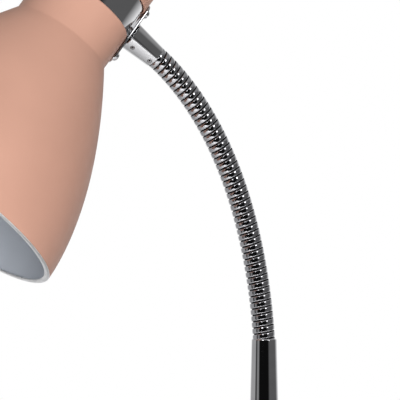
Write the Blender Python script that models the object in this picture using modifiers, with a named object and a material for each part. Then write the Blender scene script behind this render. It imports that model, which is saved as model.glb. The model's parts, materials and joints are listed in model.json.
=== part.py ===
"""Floor-standing examination lamp: a weighted round base, a telescopic column, a flexible
gooseneck and a bell-shaped head.

Metres, +Z up. The origin is on the floor under the column. At rest the gooseneck leans towards
-X in the XZ plane. Run it with blender --background --python part.py, or from the text editor.
"""

import math

import bmesh
import bpy
from mathutils import Matrix, Vector

GAP = 0.0003  # between pieces that touch
WELD = 0.00001
SLIDE_GAP = 0.0003  # between a sliding or turning piece and its guide
CUT_PAST = 0.005  # how far a cutter reaches past the wall it goes through
SMALL_STEPS = 16
TUBE_STEPS = 20
BODY_STEPS = 24
BELL_STEPS = 32
BASE_STEPS = 36

# Base
BASE_R = 0.140
PAD_R = 0.138
PAD_H = 0.003
COVER_TOP_Z = 0.027
COVER_FLAT_R = 0.030
COVER_EDGE_R = 0.010  # rounding of the cover's outer edge
COVER_EDGE_Z = 0.016  # height of the cover where its rounding starts
COVER_WALL = 0.0012
WEIGHT_R = 0.120
WEIGHT_TOP_Z = 0.0135
WEIGHT_BOSS_R = 0.026
BOLT_R = 0.004
BOLT_CLEARANCE = 0.0004
BOLT_HEAD_R = 0.0065
BOLT_HEAD_H = 0.0053
BOLT_REACH = 0.022  # of the bolt above the cover
GLAND_BORE_R = 0.0032
GLAND_R = 0.0045
GLAND_FLANGE_R = 0.0055
GLAND_FLANGE_H = 0.0025
GLAND_NOSE_H = 0.008
GLAND_INSIDE = 0.012
GLAND_Z = 0.0092

# Column
OUTER_TUBE_R = 0.011
TUBE_WALL = 0.0012
OUTER_TUBE_TOP_Z = 0.600
ROSETTE_R = 0.025
ROSETTE_H = 0.009
ROSETTE_COLLAR_W = 0.002  # of its flat top around the tube
ROSETTE_STEP = 0.004
ROSETTE_EDGE = 0.001
PLUG_H = 0.034
INNER_TUBE_R = 0.008
INNER_TUBE_FOOT_Z = 0.120
INNER_TUBE_SHOWN = 0.062  # of the inner tube, between the collar and the ferrule
BUSH_H = 0.030
BUSH_FLANGE_H = 0.003
COLLAR_R = 0.0165
COLLAR_SKIRT_H = 0.020  # of the collar around the outer tube
COLLAR_HEAD_H = 0.016  # of the collar around the inner tube
COLLAR_EDGE = 0.0012
CLAMP_SCREW_R = 0.0030
CLAMP_PAD_L = 0.0022
CLAMP_STAND_OFF = 0.004  # of the knob from the collar
KNOB_R = 0.016
KNOB_H = 0.013
KNOB_LOBES = 6
KNOB_DIMPLE_R = 0.0045
KNOB_EDGE = 0.002
KNOB_SOCKET_SHARE = 0.6  # of the knob's height that the screw reaches into

# Ferrule, the tapered fitting under the gooseneck
FERRULE_TOP_R = 0.0069
FERRULE_L = 0.060
FERRULE_TAPER_L = 0.045
FERRULE_LIP_R = 0.0009
NIPPLE_R = 0.0050
NIPPLE_L = 0.030
WIRE_BORE_R = 0.0025

# Gooseneck: ball-and-cup sections inside the winding
NECK_L = 0.171  # of the gooseneck, from the ferrule's lip to the sleeve
SECTIONS = 10
NECK_R = 0.0062
BALL_R = 0.0049
CUP_GAP = 0.00045
CUP_LIP = 0.0020  # of the cup beyond the ball's centre
BALL_NECK_R = 0.0034
SHOULDER_Z = 0.0046  # of the section's shoulder above the ball's centre
SECTION_EDGE = 0.0005
FIRST_LEAN = 3.6  # degrees from upright at the ferrule
EVEN_LEAN = 28.4  # degrees gained evenly along the gooseneck
TIP_LEAN = 16.7  # degrees gained mostly near its tip

# Sleeve, the tapered fitting between the gooseneck and the head
SLEEVE_LEAN = 52.5  # degrees from upright
SLEEVE_L = 0.0191
SLEEVE_TIP_R = 0.0064
SLEEVE_ROOT_R = 0.0080
SLEEVE_EDGE_R = 0.0006
GRUB_R = 0.0012
GRUB_L = 0.0022
GRUB_ANGLE = 51.0  # degrees from -Y towards the sleeve's lower side
GRUB_INSET = 0.0026  # from the sleeve's tip
GRUB_ROOT_INSET = 0.0041
GRUB_SUNK = 0.0002
STUD_R = 0.0040
STUD_IN_SLEEVE = 0.011
STUD_NUT_R = 0.0070
STUD_NUT_H = 0.0030
STUD_PAST_NUT = 0.0010
STUD_NUT_INSET = 0.0010  # from the band's bore

# Side plate
PLATE_L = 0.039
PLATE_W = 0.010
PLATE_H = 0.0012
PLATE_SCREW_PITCH = 0.029
SCREW_R = 0.0015
SCREW_HEAD_R = 0.0027
SCREW_HEAD_H = 0.0026
SCREW_L = 0.0045

# Head
SHADE_NECK_R = 0.0283
SHADE_WALL = 0.0008
SHOULDER_R = 0.0009  # rounding of the neck's and the cap's facing edges
SHADE_NECK_TOP_Z = -0.0046
SHADE_NECK_FOOT_Z = -0.0267
BELL_R = 0.0695
BELL_RIM_Z = -0.139
BELL_FULLNESS = 1.75
BELL_POINTS = 9
LIP_W = 0.0032
LIP_ROLL_R = 0.0012
LIP_RISE = 0.0002  # of the lip's inner edge
BAND_GAP = 0.0005  # from the rounded edges
BAND_R = SHADE_NECK_R - SHOULDER_R - BAND_GAP
BAND_WALL = 0.0009
BAND_IN_NECK = 0.014
BAND_IN_CAP = 0.022
CAP_FOOT_Z = 0.0122
CAP_SIDE_TOP_Z = 0.042
CAP_TOP_Z = 0.058
CAP_FLAT_R = 0.011
RING_H = 0.0015
RING_Z = 0.026
HOLDER_R = 0.0170
HOLDER_WALL = 0.0020
HOLDER_MOUTH_Z = -0.006
HOLDER_TOP_Z = 0.040
HOLDER_FLOOR_Z = 0.030
HOLDER_LEDGE = 0.0020
HOLDER_CROWN_W = 0.004
HOLDER_CROWN_H = 0.006
THREAD_FROM_MOUTH = 0.002
THREAD_FROM_FLOOR = 0.004
LAMP_CAP_R = 0.0130
LAMP_CAP_H = 0.024
LAMP_TIP_H = 0.003
THREAD_WALL = 0.0010
BULB_R = 0.0300
BULB_L = 0.076
BULB_NECK_R = 0.0125
BULB_NECK_FLARE = 0.0015
BULB_WALL = 0.0008
CONTACT_R = 0.0035
SWITCH_R = 0.0060
SWITCH_FLANGE_R = 0.0085
SWITCH_FLANGE_H = 0.0020
SWITCH_FLANGE_EDGE = 0.0006
SWITCH_DEPTH = 0.016
SWITCH_NUT_R = 0.0085
SWITCH_NUT_H = 0.0025
BUTTON_R = 0.0042
BUTTON_H = 0.0050
BUTTON_TRAVEL = 0.0020
BUTTON_PROUD = 0.0015
BUTTON_CROWN = 0.0002
BUTTON_EDGE = 0.0010

SALMON = ((0.52, 0.29, 0.22), 0.55, 0.0)
CHROME = ((0.62, 0.62, 0.64), 0.08, 1.0)
STEEL = ((0.45, 0.45, 0.46), 0.35, 1.0)
BRASS = ((0.60, 0.46, 0.20), 0.30, 1.0)
IRON = ((0.10, 0.10, 0.11), 0.70, 0.6)
BLACK_PLASTIC = ((0.03, 0.03, 0.03), 0.45, 0.0)
NYLON = ((0.75, 0.74, 0.70), 0.50, 0.0)
RUBBER = ((0.05, 0.05, 0.05), 0.85, 0.0)
PORCELAIN = ((0.80, 0.79, 0.76), 0.30, 0.0)
FROSTED_GLASS = ((0.90, 0.90, 0.88), 0.35, 0.0)

PARTS = "examination_lamp"
CUTTERS = "cutters"


# Scene and finishes


def clear_scene():
    for obj in list(bpy.data.objects):
        bpy.data.objects.remove(obj)
    for name in (PARTS, CUTTERS):
        collection = bpy.data.collections.new(name)
        bpy.context.scene.collection.children.link(collection)


def finish(obj, look):
    colour, roughness, metallic = look
    material = bpy.data.materials.new(obj.name + "_finish")
    material.use_nodes = True
    shader = material.node_tree.nodes["Principled BSDF"]
    shader.inputs["Base Color"].default_value = (*colour, 1.0)
    shader.inputs["Roughness"].default_value = roughness
    shader.inputs["Metallic"].default_value = metallic
    obj.data.materials.append(material)


def add_part(name, mesh, look, frame=None):
    obj = bpy.data.objects.new(name, mesh)
    bpy.data.collections[PARTS].objects.link(obj)
    obj.parent = frame
    finish(obj, look)
    return obj


def add_frame(name, place, lean):
    """An empty at a joint, leaning by this many degrees towards -X."""
    frame = bpy.data.objects.new(name, None)
    frame.location = place
    frame.rotation_euler = (0, -math.radians(lean), 0)
    bpy.data.collections[PARTS].objects.link(frame)
    return frame


# Shapes


def arc(centre, radius, start, end, count):
    """Points of (radius, height) round a centre, from one angle to another, in degrees."""
    points = []
    for step in range(count + 1):
        angle = math.radians(start + (end - start) * step / count)
        points.append((centre[0] + radius * math.cos(angle), centre[1] + radius * math.sin(angle)))
    return points


def runs_down_outside(outline):
    pairs = zip(outline, outline[1:] + outline[:1])
    return sum(a[0] * b[1] - b[0] * a[1] for a, b in pairs) < 0


def add_screw(obj, steps):
    turn = obj.modifiers.new("turn", "SCREW")
    turn.steps = steps
    turn.render_steps = steps
    turn.use_merge_vertices = True
    turn.merge_threshold = WELD


def turned(name, outline, steps, look, frame=None):
    """A solid turned about the local Z axis, from a closed outline or one that ends on the axis."""
    if not runs_down_outside(outline):
        outline = outline[::-1]
    on_axis = min(radius for radius, _ in outline) < 1e-9
    if on_axis:
        while outline[0][0] > 1e-9 or outline[-1][0] > 1e-9:
            outline = outline[1:] + outline[:1]
    edges = [(i, i + 1) for i in range(len(outline) - 1)]
    if not on_axis:
        edges.append((len(outline) - 1, 0))
    mesh = bpy.data.meshes.new(name)
    mesh.from_pydata([(radius, 0, height) for radius, height in outline], edges, [])
    obj = add_part(name, mesh, look, frame)
    add_screw(obj, steps)
    return obj


def turned_shell(name, outline, wall, steps, look, frame=None):
    """A sheet-metal shell whose outer side runs down this open outline."""
    mesh = bpy.data.meshes.new(name)
    edges = [(i, i + 1) for i in range(len(outline) - 1)]
    mesh.from_pydata([(radius, 0, height) for radius, height in outline], edges, [])
    obj = add_part(name, mesh, look, frame)
    add_screw(obj, steps)
    solidify = obj.modifiers.new("wall", "SOLIDIFY")
    solidify.thickness = wall
    solidify.offset = -1
    solidify.use_even_offset = True
    return obj


def ring_outline(inner, outer, bottom, top):
    return [(outer, top), (outer, bottom), (inner, bottom), (inner, top)]


def across(direction, place):
    """The matrix that stands a rod, made along Z, in this direction, with its middle at this place."""
    turn = Vector(direction).to_track_quat("Z", "Y").to_matrix().to_4x4()
    return Matrix.Translation(place) @ turn


def rod_mesh(name, radius, length, matrix, sides):
    shape = bmesh.new()
    bmesh.ops.create_cone(
        shape, cap_ends=True, segments=sides, radius1=radius, radius2=radius, depth=length, matrix=matrix
    )
    mesh = bpy.data.meshes.new(name)
    shape.to_mesh(mesh)
    shape.free()
    mesh.shade_smooth()
    mesh.set_sharp_from_angle(angle=math.radians(40))
    return mesh


def rod(name, radius, start, end, look, frame=None, sides=SMALL_STEPS):
    """A round bar between two points."""
    start = Vector(start)
    end = Vector(end)
    matrix = across(end - start, (start + end) / 2)
    return add_part(name, rod_mesh(name, radius, (end - start).length, matrix, sides), look, frame)


def drill(obj, name, radius, start, end, frame=None, sides=SMALL_STEPS):
    """Cuts a round hole between two points."""
    start = Vector(start)
    end = Vector(end)
    matrix = across(end - start, (start + end) / 2)
    cutter = bpy.data.objects.new(name, rod_mesh(name, radius, (end - start).length, matrix, sides))
    bpy.data.collections[CUTTERS].objects.link(cutter)
    cutter.parent = frame
    cutter.hide_render = True
    cutter.display_type = "WIRE"
    cut = obj.modifiers.new(name, "BOOLEAN")
    cut.operation = "DIFFERENCE"
    cut.solver = "EXACT"
    cut.object = cutter


def hex_nut(name, bore, across_corners, foot, top, look, frame, axis):
    """A nut between two heights along an axis of its frame."""
    axis = Vector(axis)
    nut = rod(name, across_corners, foot * axis, top * axis, look, frame, 6)
    drill(nut, name + "_bore", bore, (foot - CUT_PAST) * axis, (top + CUT_PAST) * axis, frame)


# Places worked out from the sizes


def collar_top():
    return OUTER_TUBE_TOP_Z + GAP + BUSH_FLANGE_H + GAP + COLLAR_HEAD_H


def ferrule_foot():
    return collar_top() + INNER_TUBE_SHOWN + GAP


def ferrule_top():
    return ferrule_foot() + FERRULE_L


def section_length():
    return (NECK_L + CUP_LIP - SHOULDER_Z) / SECTIONS


def lean_at(share):
    """Degrees from upright at a share of the gooseneck's length."""
    return FIRST_LEAN + EVEN_LEAN * share + TIP_LEAN * share**3


def section_leans():
    return [lean_at((i + 0.5) / SECTIONS) for i in range(SECTIONS)]


def leaning(lean):
    angle = math.radians(lean)
    return Vector((-math.sin(angle), 0, math.cos(angle)))


def joint_places():
    """The centres of the gooseneck's balls, from the ferrule's cup to the sleeve's ball."""
    places = [Vector((0, 0, ferrule_top() - CUP_LIP))]
    for lean in section_leans():
        places.append(places[-1] + section_length() * leaning(lean))
    return places


def sleeve_root():
    """Height of the sleeve's root above its ball's centre."""
    return SHOULDER_Z + SLEEVE_L


def plate_face():
    """Distance of the side plate's inner face from the head's axis."""
    return SHADE_NECK_R + GAP


def head_place():
    reach = sleeve_root() + GAP + PLATE_H + plate_face()
    return joint_places()[-1] + reach * leaning(SLEEVE_LEAN)


# Base


def cover_outline():
    edge_x = BASE_R - COVER_EDGE_R
    edge_z = COVER_EDGE_Z - COVER_EDGE_R
    round_edge = arc((edge_x, edge_z), COVER_EDGE_R, 84, 0, 4)
    hole = BOLT_R + BOLT_CLEARANCE
    return [(hole, COVER_TOP_Z), (COVER_FLAT_R, COVER_TOP_Z)] + round_edge + [(BASE_R, PAD_H + GAP)]


def make_base():
    turned("base_pad", [(0, PAD_H), (PAD_R, PAD_H), (PAD_R, 0), (0, 0)], BASE_STEPS, RUBBER)
    make_weight()
    cover = turned_shell("base_cover", cover_outline(), COVER_WALL, BASE_STEPS, SALMON)
    wall_x = BASE_R - COVER_WALL
    hole_r = GLAND_R + GAP
    drill(cover, "gland_hole", hole_r, (wall_x - CUT_PAST, 0, GLAND_Z), (BASE_R + CUT_PAST, 0, GLAND_Z))
    make_gland()
    make_bolt()


def make_weight():
    hole = BOLT_R + BOLT_CLEARANCE
    recess = BOLT_HEAD_R + BOLT_CLEARANCE
    foot = PAD_H + GAP
    recess_top = foot + BOLT_HEAD_H + GAP
    boss_top = COVER_TOP_Z - COVER_WALL - GAP
    outline = [
        (hole, boss_top),
        (WEIGHT_BOSS_R, boss_top),
        (WEIGHT_BOSS_R, WEIGHT_TOP_Z),
        (WEIGHT_R, WEIGHT_TOP_Z),
        (WEIGHT_R, foot),
        (recess, foot),
        (recess, recess_top),
        (hole, recess_top),
    ]
    turned("base_weight", outline, BODY_STEPS, IRON)


def make_bolt():
    foot = PAD_H + GAP + GAP
    shank_foot = foot + BOLT_HEAD_H - GAP
    top = COVER_TOP_Z + BOLT_REACH
    outline = [
        (0, top),
        (BOLT_R, top),
        (BOLT_R, shank_foot),
        (BOLT_HEAD_R, shank_foot),
        (BOLT_HEAD_R, foot),
        (0, foot),
    ]
    turned("column_bolt", outline, SMALL_STEPS, STEEL)


def make_gland():
    """A hollow gland in the cover's edge, for the mains cord."""
    frame = bpy.data.objects.new("gland_frame", None)
    frame.location = (BASE_R, 0, GLAND_Z)
    frame.rotation_euler = (0, math.radians(90), 0)
    bpy.data.collections[PARTS].objects.link(frame)
    flange_top = GAP + GLAND_FLANGE_H
    outline = [
        (GLAND_BORE_R, flange_top + GLAND_NOSE_H),
        (GLAND_R, flange_top + GLAND_NOSE_H),
        (GLAND_FLANGE_R, flange_top),
        (GLAND_FLANGE_R, GAP),
        (GLAND_R, GAP),
        (GLAND_R, -GLAND_INSIDE),
        (GLAND_BORE_R, -GLAND_INSIDE),
    ]
    turned("cord_gland", outline, SMALL_STEPS, BLACK_PLASTIC, frame)


# Column


def make_column():
    foot = COVER_TOP_Z + GAP
    bore = OUTER_TUBE_R - TUBE_WALL
    tube = ring_outline(bore, OUTER_TUBE_R, foot, OUTER_TUBE_TOP_Z)
    turned("outer_tube", tube, TUBE_STEPS, CHROME)
    plug = ring_outline(BOLT_R + BOLT_CLEARANCE, bore - GAP, foot, foot + PLUG_H)
    turned("column_plug", plug, SMALL_STEPS, STEEL)
    rosette = [
        (OUTER_TUBE_R + GAP, foot + ROSETTE_H),
        (OUTER_TUBE_R + ROSETTE_COLLAR_W, foot + ROSETTE_H),
        (OUTER_TUBE_R + ROSETTE_STEP, foot + ROSETTE_H - ROSETTE_STEP),
        (ROSETTE_R - ROSETTE_EDGE, foot + 2 * ROSETTE_EDGE),
        (ROSETTE_R, foot + ROSETTE_EDGE),
        (ROSETTE_R, foot),
        (OUTER_TUBE_R + GAP, foot),
    ]
    turned("column_rosette", rosette, BODY_STEPS, CHROME)
    make_guide_bush(bore)
    make_collar()
    make_clamp()


def make_guide_bush(tube_bore):
    bore = INNER_TUBE_R + SLIDE_GAP
    flange_foot = OUTER_TUBE_TOP_Z + GAP
    outline = [
        (bore, flange_foot + BUSH_FLANGE_H),
        (OUTER_TUBE_R, flange_foot + BUSH_FLANGE_H),
        (OUTER_TUBE_R, flange_foot),
        (tube_bore - GAP, flange_foot),
        (tube_bore - GAP, OUTER_TUBE_TOP_Z - BUSH_H),
        (bore, OUTER_TUBE_TOP_Z - BUSH_H),
    ]
    turned("guide_bush", outline, TUBE_STEPS, NYLON)


def clamp_height():
    return collar_top() - COLLAR_HEAD_H / 2


def make_collar():
    """The collar sits on the outer tube, and its head carries the clamp screw."""
    foot = OUTER_TUBE_TOP_Z - COLLAR_SKIRT_H
    ledge = collar_top() - COLLAR_HEAD_H
    outline = [
        (INNER_TUBE_R + SLIDE_GAP, collar_top()),
        (COLLAR_R - COLLAR_EDGE, collar_top()),
        (COLLAR_R, collar_top() - COLLAR_EDGE),
        (COLLAR_R, foot + COLLAR_EDGE),
        (COLLAR_R - COLLAR_EDGE, foot),
        (OUTER_TUBE_R + GAP, foot),
        (OUTER_TUBE_R + GAP, ledge),
        (INNER_TUBE_R + SLIDE_GAP, ledge),
    ]
    collar = turned("clamp_collar", outline, BODY_STEPS, CHROME)
    height = clamp_height()
    start, end = (INNER_TUBE_R - CUT_PAST, 0, height), (COLLAR_R + CUT_PAST, 0, height)
    drill(collar, "clamp_hole", CLAMP_SCREW_R + SLIDE_GAP, start, end)


def clamp_places():
    """How far the clamp pad's two ends, the screw's and the knob's are from the column's axis."""
    pad_foot = INNER_TUBE_R + SLIDE_GAP
    pad_end = pad_foot + CLAMP_PAD_L
    knob_foot = COLLAR_R + CLAMP_STAND_OFF
    return pad_foot, pad_end, pad_end + GAP, knob_foot


def make_clamp():
    height = clamp_height()
    pad_foot, pad_end, screw_foot, knob_foot = clamp_places()
    rod("clamp_pad", CLAMP_SCREW_R, (pad_foot, 0, height), (pad_end, 0, height), NYLON)
    screw_end = knob_foot + KNOB_H * KNOB_SOCKET_SHARE
    rod("clamp_screw", CLAMP_SCREW_R, (screw_foot, 0, height), (screw_end, 0, height), STEEL)
    frame = bpy.data.objects.new("knob_frame", None)
    frame.location = (knob_foot, 0, height)
    frame.rotation_euler = (0, math.radians(90), 0)
    bpy.data.collections[PARTS].objects.link(frame)
    socket_r = CLAMP_SCREW_R + GAP
    socket_top = KNOB_H * KNOB_SOCKET_SHARE + GAP
    outline = [
        (0, KNOB_H),
        (KNOB_R - KNOB_EDGE, KNOB_H),
        (KNOB_R, KNOB_H - KNOB_EDGE),
        (KNOB_R, KNOB_EDGE),
        (KNOB_R - KNOB_EDGE, 0),
        (socket_r, 0),
        (socket_r, socket_top),
        (0, socket_top),
    ]
    knob = turned("clamp_knob", outline, BODY_STEPS, BLACK_PLASTIC, frame)
    for lobe in range(KNOB_LOBES):
        angle = 2 * math.pi * (lobe + 0.5) / KNOB_LOBES
        x = (KNOB_R + KNOB_EDGE) * math.cos(angle)
        y = (KNOB_R + KNOB_EDGE) * math.sin(angle)
        foot, top = (x, y, -CUT_PAST), (x, y, KNOB_H + CUT_PAST)
        drill(knob, f"knob_dimple_{lobe}", KNOB_DIMPLE_R, foot, top, frame)


def make_sliding_tube():
    top = ferrule_foot() - GAP
    bore = INNER_TUBE_R - TUBE_WALL
    slot_foot = INNER_TUBE_FOOT_Z + BUSH_H + GAP
    turned("inner_tube", ring_outline(bore, INNER_TUBE_R, INNER_TUBE_FOOT_Z, top), TUBE_STEPS, CHROME)
    outer = OUTER_TUBE_R - TUBE_WALL - SLIDE_GAP
    foot_bush = ring_outline(INNER_TUBE_R + GAP, outer, INNER_TUBE_FOOT_Z, slot_foot)
    turned("foot_bush", foot_bush, TUBE_STEPS, NYLON)
    nipple_top = ferrule_foot() + NIPPLE_L / 2
    collar_foot = top - NIPPLE_L / 2
    nipple = [
        (WIRE_BORE_R, nipple_top),
        (NIPPLE_R, nipple_top),
        (NIPPLE_R, top),
        (bore - GAP, top),
        (bore - GAP, collar_foot),
        (WIRE_BORE_R, collar_foot),
    ]
    turned("tube_nipple", nipple, SMALL_STEPS, BRASS)


# Gooseneck


def cup_points(centre_z, count):
    """The inner side of a cup, from its lip down to the wire bore."""
    radius = BALL_R + CUP_GAP
    lip = math.degrees(math.asin(CUP_LIP / radius))
    bore = -math.degrees(math.acos(WIRE_BORE_R / radius))
    return arc((0, centre_z), radius, lip, bore, count)


def ball_points(count):
    """The outer side of a ball on its neck, from the neck down to the wire bore."""
    neck = math.degrees(math.acos(BALL_NECK_R / BALL_R))
    bore = -math.degrees(math.acos(WIRE_BORE_R / BALL_R))
    return arc((0, 0), BALL_R, neck, bore, count)


def make_ferrule():
    top = ferrule_top()
    foot = ferrule_foot()
    cup = cup_points(top - CUP_LIP, 3)
    lip = arc((FERRULE_TOP_R - FERRULE_LIP_R, top - FERRULE_LIP_R), FERRULE_LIP_R, 90, 0, 3)
    socket_r = NIPPLE_R + SLIDE_GAP
    socket_top = foot + NIPPLE_L / 2 + GAP
    outline = lip + [
        (INNER_TUBE_R, top - FERRULE_TAPER_L),
        (INNER_TUBE_R, foot),
        (socket_r, foot),
        (socket_r, socket_top),
        (WIRE_BORE_R, socket_top),
    ]
    turned("ferrule", outline + cup[::-1], TUBE_STEPS, CHROME)


def section_outline():
    length = section_length()
    return (
        [(NECK_R, length + CUP_LIP - SECTION_EDGE), (NECK_R, SHOULDER_Z + SECTION_EDGE)]
        + [(NECK_R - SECTION_EDGE, SHOULDER_Z), (BALL_NECK_R, SHOULDER_Z)]
        + ball_points(3)
        + cup_points(length, 3)[::-1]
        + [(NECK_R - SECTION_EDGE, length + CUP_LIP)]
    )


def make_gooseneck():
    places = joint_places()
    for i, lean in enumerate(section_leans()):
        name = f"gooseneck_section_{i + 1:02d}"
        frame = add_frame(name + "_joint", places[i], lean)
        turned(name, section_outline(), 14, STEEL, frame)


# Sleeve and side plate


def grub_direction():
    angle = math.radians(GRUB_ANGLE)
    return Vector((-math.sin(angle), -math.cos(angle), 0))


def sleeve_radius(height):
    share = (height - SHOULDER_Z) / SLEEVE_L
    return SLEEVE_TIP_R + (SLEEVE_ROOT_R - SLEEVE_TIP_R) * share


def make_sleeve():
    frame = add_frame("sleeve_joint", joint_places()[-1], SLEEVE_LEAN)
    root = sleeve_root()
    stud_bore_r = STUD_R + SLIDE_GAP
    stud_floor = root - STUD_IN_SLEEVE - GAP
    edge = arc((SLEEVE_TIP_R - SLEEVE_EDGE_R, SHOULDER_Z + SLEEVE_EDGE_R), SLEEVE_EDGE_R, 0, -90, 3)
    outline = (
        [(stud_bore_r, root), (SLEEVE_ROOT_R, root)]
        + edge
        + [(BALL_NECK_R, SHOULDER_Z)]
        + ball_points(3)
        + [(WIRE_BORE_R, stud_floor), (stud_bore_r, stud_floor)]
    )
    sleeve = turned("neck_sleeve", outline, TUBE_STEPS, CHROME, frame)
    for side, height in (("tip", SHOULDER_Z + GRUB_INSET), ("root", root - GRUB_ROOT_INSET)):
        out = grub_direction()
        surface = sleeve_radius(height) - GRUB_SUNK
        foot = out * (surface - GRUB_L) + Vector((0, 0, height))
        face = out * surface + Vector((0, 0, height))
        far = out * (surface + CUT_PAST) + Vector((0, 0, height))
        hole_foot = out * (surface - GRUB_L - GAP) + Vector((0, 0, height))
        drill(sleeve, f"grub_hole_{side}", GRUB_R + GAP, hole_foot, far, frame, 12)
        rod(f"grub_screw_{side}", GRUB_R, foot, face, STEEL, frame, 12)


def plate_outline_mesh():
    """A strip with round ends, as a filled flat curve with a thickness, standing in the YZ plane."""
    curve = bpy.data.curves.new("side_plate", "CURVE")
    curve.dimensions = "2D"
    curve.fill_mode = "BOTH"
    curve.extrude = PLATE_H / 2
    spline = curve.splines.new("POLY")
    half = PLATE_L / 2 - PLATE_W / 2
    points = arc((half, 0), PLATE_W / 2, -90, 90, 8) + arc((-half, 0), PLATE_W / 2, 90, 270, 8)
    spline.points.add(len(points) - 1)
    for point, (x, y) in zip(spline.points, points):
        point.co = (x, y, 0, 1)
    spline.use_cyclic_u = True
    flat = bpy.data.objects.new("side_plate_outline", curve)
    bpy.context.scene.collection.objects.link(flat)
    bpy.context.view_layer.update()
    graph = bpy.context.evaluated_depsgraph_get()
    mesh = bpy.data.meshes.new_from_object(flat.evaluated_get(graph))
    bpy.data.objects.remove(flat)
    shape = bmesh.new()
    shape.from_mesh(mesh)
    bmesh.ops.remove_doubles(shape, verts=shape.verts, dist=WELD)
    stand = Matrix.Rotation(math.radians(-90), 4, "Y")
    bmesh.ops.transform(shape, matrix=stand, verts=shape.verts)
    bmesh.ops.translate(shape, vec=(plate_face() + PLATE_H / 2, 0, 0), verts=shape.verts)
    bmesh.ops.recalc_face_normals(shape, faces=shape.faces)
    shape.to_mesh(mesh)
    shape.free()
    return mesh


def make_side_plate(head, neck, cap, band):
    plate = add_part("side_plate", plate_outline_mesh(), CHROME, head)
    outer = plate_face() + PLATE_H
    inside, outside = BAND_R - CUT_PAST, outer + CUT_PAST
    drill(plate, "stud_hole", STUD_R + GAP, (inside, 0, 0), (outside, 0, 0), head)
    drill(band, "stud_hole_band", STUD_R + GAP, (inside, 0, 0), (outside, 0, 0), head)
    tip = outer - SCREW_L
    for side, height, wall in (("upper", 1, cap), ("lower", -1, neck)):
        z = height * PLATE_SCREW_PITCH / 2
        for pierced in (plate, wall, band):
            name = f"{side}_screw_hole_{pierced.name}"
            drill(pierced, name, SCREW_R + GAP, (inside, 0, z), (outside, 0, z), head, 12)
        make_plate_screw(f"plate_screw_{side}", z, outer + GAP, tip, head)


def make_plate_screw(name, z, face, tip, head):
    """A pan-head screw along the head's X axis."""
    frame = bpy.data.objects.new(name + "_frame", None)
    frame.parent = head
    frame.location = (face, 0, z)
    frame.rotation_euler = (0, math.radians(90), 0)
    bpy.data.collections[PARTS].objects.link(frame)
    outline = [
        (0, SCREW_HEAD_H),
        (SCREW_HEAD_R * 0.6, SCREW_HEAD_H * 0.95),
        (SCREW_HEAD_R * 0.9, SCREW_HEAD_H * 0.7),
        (SCREW_HEAD_R, SCREW_HEAD_H * 0.3),
        (SCREW_HEAD_R, 0),
        (SCREW_R, 0),
        (SCREW_R, tip - face),
        (0, tip - face),
    ]
    turned(name, outline, SMALL_STEPS, STEEL, frame)


def make_stud(head):
    """The hollow stud that the sleeve turns on, and its nut inside the band."""
    band_bore = BAND_R - BAND_WALL
    root = plate_face() + PLATE_H + GAP
    frame = bpy.data.objects.new("stud_frame", None)
    frame.parent = head
    frame.location = (root, 0, 0)
    frame.rotation_euler = (0, math.radians(90), 0)
    bpy.data.collections[PARTS].objects.link(frame)
    nut_face = band_bore - STUD_NUT_INSET
    nut_foot = nut_face - STUD_NUT_H
    stud = ring_outline(WIRE_BORE_R, STUD_R, nut_foot - STUD_PAST_NUT - root, STUD_IN_SLEEVE)
    turned("swivel_stud", stud, SMALL_STEPS, STEEL, frame)
    hex_nut("swivel_nut", STUD_R + GAP, STUD_NUT_R, nut_foot, nut_face, STEEL, head, (1, 0, 0))


# Head


def shoulder_points(edge_z, up):
    """Rounding of a sheet edge that turns in towards the band. The facing edge is at edge_z."""
    centre = (SHADE_NECK_R - SHOULDER_R, edge_z + up * SHOULDER_R)
    return arc(centre, SHOULDER_R, -90 * up, 0, 3)


def bell_points():
    points = []
    fall = SHADE_NECK_FOOT_Z - (BELL_RIM_Z + LIP_ROLL_R)
    for i in range(BELL_POINTS + 1):
        share = (i / BELL_POINTS) ** 1.1
        radius = SHADE_NECK_R + (BELL_R - SHADE_NECK_R) * (1 - (1 - share) ** BELL_FULLNESS)
        points.append((radius, SHADE_NECK_FOOT_Z - fall * share))
    return points


def lip_points():
    """The rim rolls in and stops short of the lip's inner edge."""
    centre = (BELL_R - LIP_ROLL_R, BELL_RIM_Z + LIP_ROLL_R)
    return arc(centre, LIP_ROLL_R, -30, -90, 2) + [(BELL_R - LIP_W, BELL_RIM_Z + LIP_RISE)]


def make_shade(head):
    outline = shoulder_points(SHADE_NECK_TOP_Z, -1) + bell_points() + lip_points()
    return turned_shell("shade", outline, SHADE_WALL, BELL_STEPS, SALMON, head)


def make_cap(head):
    dome_w = SHADE_NECK_R - CAP_FLAT_R
    dome_h = CAP_TOP_Z - CAP_SIDE_TOP_Z
    dome = [
        (CAP_FLAT_R + dome_w * x, CAP_SIDE_TOP_Z + dome_h * z) for x, z in arc((0, 0), 1, 90, 0, 5)
    ]
    top = [(SWITCH_R + GAP, CAP_TOP_Z)]
    outline = top + dome + shoulder_points(CAP_FOOT_Z, 1)[::-1]
    return turned_shell("head_cap", outline, SHADE_WALL, BODY_STEPS, SALMON, head)


def make_band(head):
    foot = SHADE_NECK_TOP_Z - BAND_IN_NECK
    top = CAP_FOOT_Z + BAND_IN_CAP
    outline = ring_outline(BAND_R - BAND_WALL, BAND_R, foot, top)
    return turned("chrome_band", outline, BODY_STEPS, CHROME, head)


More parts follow.
